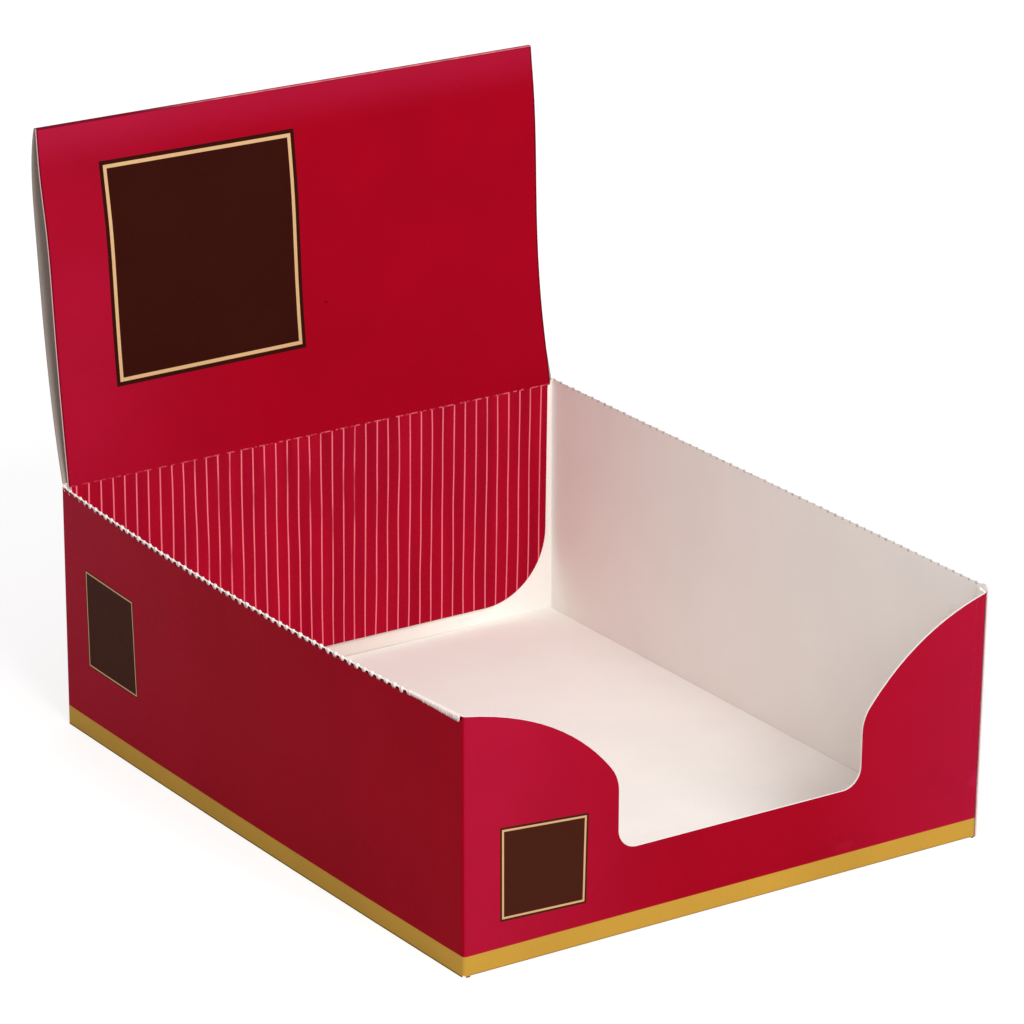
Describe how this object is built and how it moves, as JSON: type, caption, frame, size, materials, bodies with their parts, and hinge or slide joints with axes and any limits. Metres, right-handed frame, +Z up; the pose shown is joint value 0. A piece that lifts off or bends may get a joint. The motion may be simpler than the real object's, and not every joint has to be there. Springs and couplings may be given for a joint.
{
  "type": "counter display box",
  "caption": "Open carton tray for a shop counter, with a die-cut front window, torn-off side flaps and its lid folded double as an upright header with a striped tuck flap.",
  "frame": {"origin": "middle of the base, on the surface that the box stands on", "axes": "+X along the front to the right, +Y from the front to the back, +Z up"},
  "size_m": [0.2052, 0.2685, 0.2088],
  "materials": {
    "tray_board": "red satin print with a gold foot band and brown squares outside, bare white board inside and on torn edges",
    "header_back_board": "plain red satin print outside, bare board inside",
    "header_front_board": "red satin print with a gold-lined brown square, and pale pinstripes on the tuck flap"
  },
  "bodies": {
    "tray": {"tray": "tray_board"},
    "header_back": {"header_back": "header_back_board"},
    "header_front": {"header_front": "header_front_board"}
  },
  "joints": [
    {"name": "rear_crease", "type": "hinge", "parent": "tray", "child": "header_back", "pos_m": [0, 0.125, 0.08715], "axis": [-1, 0, 0], "range_deg": [0, 84]},
    {"name": "top_fold", "type": "hinge", "parent": "header_back", "child": "header_front", "pos_m": [0, 0.138, 0.20858], "axis": [-1, 0, 0.0043], "range_deg": [0, 178]}
  ]
}
